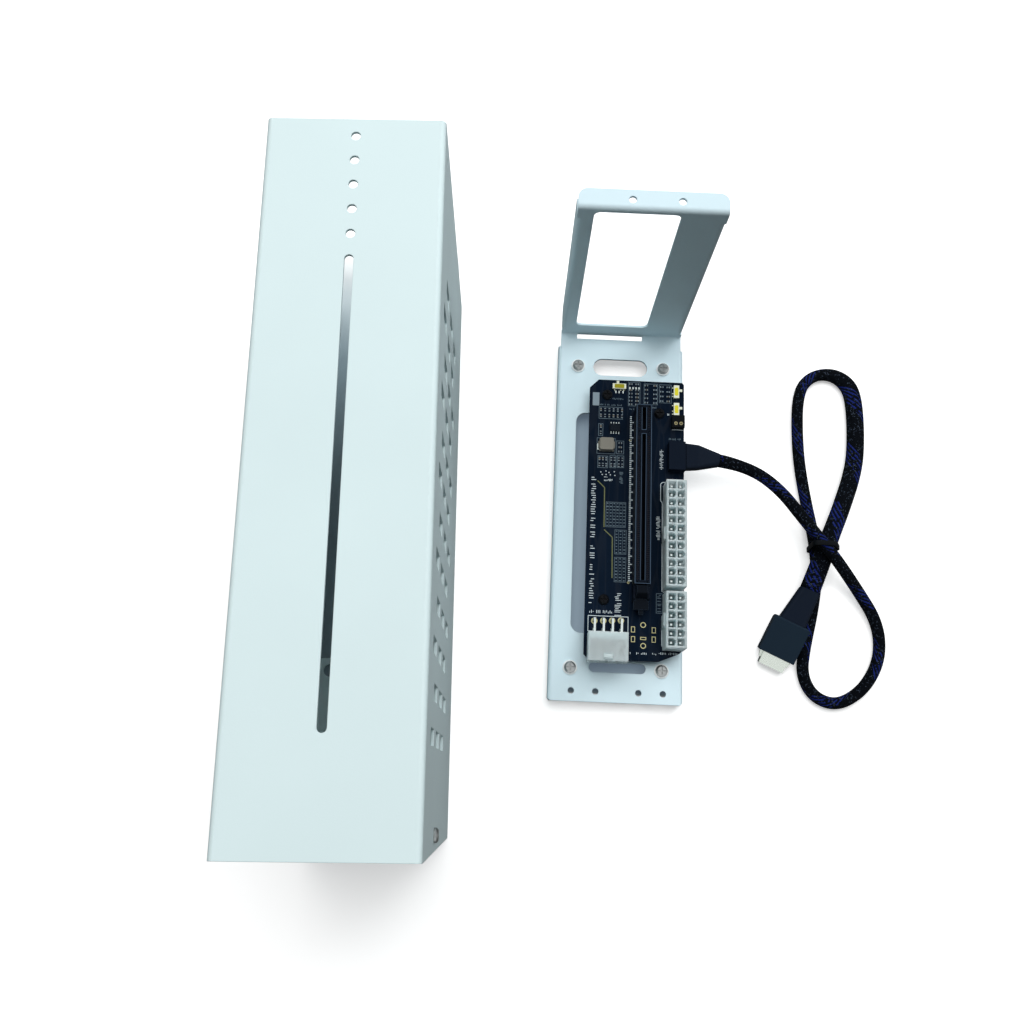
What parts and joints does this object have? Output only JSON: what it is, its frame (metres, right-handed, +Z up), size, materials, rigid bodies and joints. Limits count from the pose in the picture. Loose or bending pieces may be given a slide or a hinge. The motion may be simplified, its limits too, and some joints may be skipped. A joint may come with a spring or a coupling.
{
  "type": "external graphics card enclosure",
  "caption": "White folded steel cover with vent slots, standing beside its tray: card slot dock board, power sockets, card upright and a looped data cable with its plug.",
  "frame": {"origin": "on the floor, at the middle of the cover and the tray taken together", "axes": "+X from the cover to the tray and cable, +Y along the tray to the card upright, +Z up"},
  "size_m": [0.2819, 0.2702, 0.1574],
  "materials": {
    "white_paint_cover": "white powder coat with a faint texture",
    "white_paint_tray": "white powder coat with a faint texture",
    "screw_steel": "plain zinc plated steel",
    "dark_screw_steel": "black oxide steel",
    "white_washer": "white nylon",
    "black_rubber": "moulded rubber",
    "standoff_metal": "plain turned brass",
    "board_black": "black solder mask on laminate",
    "slot_black": "moulded",
    "latch_black": "moulded",
    "contact_metal": "gold plated",
    "nylon": "natural nylon",
    "pin_metal": "tin plated",
    "plug_metal": "bright nickel",
    "boot_black": "soft moulded",
    "braid": "woven sleeve, black with blue strands",
    "tie_black": "nylon strap",
    "plug_slate": "moulded",
    "switch_cream": "moulded, pale yellow",
    "lever_white": "moulded",
    "coil_grey": "pressed ferrite",
    "chip_black": "moulded",
    "small_socket_black": "moulded",
    "part_ceramic": "fired ceramic",
    "housing_black": "moulded"
  },
  "bodies": {
    "enclosure_set": {"cover_shell": "white_paint_cover", "cover_front_panel": "white_paint_cover", "cover_front_screws": "screw_steel", "tray": "white_paint_tray", "tray_washers": "white_washer", "tray_screws": "screw_steel", "rubber_feet": "black_rubber", "foot_nuts": "screw_steel", "board_standoffs": "standoff_metal", "board_screws": "dark_screw_steel", "circuit_board": "board_black", "card_slot_housing": "slot_black", "card_slot_contacts": "contact_metal", "power_header_24": "nylon", "power_header_24_pins": "pin_metal", "power_header_12": "nylon", "power_header_12_pins": "pin_metal", "card_power_header": "nylon", "card_power_pins": "pin_metal", "data_socket": "housing_black", "data_plug": "plug_metal", "data_plug_boot": "boot_black", "data_cable": "braid", "cable_tie": "tie_black", "far_plug_boot": "boot_black", "far_plug_body": "plug_slate", "far_plug_nose": "plug_metal", "power_coil": "coil_grey", "regulator_chip": "chip_black", "regulator_leads": "pin_metal", "fan_socket": "small_socket_black", "fan_socket_contacts": "contact_metal", "small_parts": "part_ceramic", "small_part_ends": "pin_metal", "switch_1_body": "switch_cream", "switch_2_body": "switch_cream", "switch_3_body": "switch_cream"},
    "card_latch": {"slot_latch": "latch_black"},
    "switch_lever_1": {"switch_1_lever": "lever_white"},
    "switch_lever_2": {"switch_2_lever": "lever_white"},
    "switch_lever_3": {"switch_3_lever": "lever_white"}
  },
  "joints": [
    {"name": "card_latch_pivot", "type": "hinge", "parent": "enclosure_set", "child": "card_latch", "pos_m": [0.06975, -0.01962, 0.0214], "axis": [1, 0, 0], "range_deg": [0, 22]},
    {"name": "switch_1_slide", "type": "slide", "parent": "enclosure_set", "child": "switch_lever_1", "axis": [1, 0, 0], "range_m": [0, 0.0015]},
    {"name": "switch_2_slide", "type": "slide", "parent": "enclosure_set", "child": "switch_lever_2", "axis": [0, -1, 0], "range_m": [0, 0.0015]},
    {"name": "switch_3_slide", "type": "slide", "parent": "enclosure_set", "child": "switch_lever_3", "axis": [0, -1, 0], "range_m": [0, 0.0015]}
  ]
}
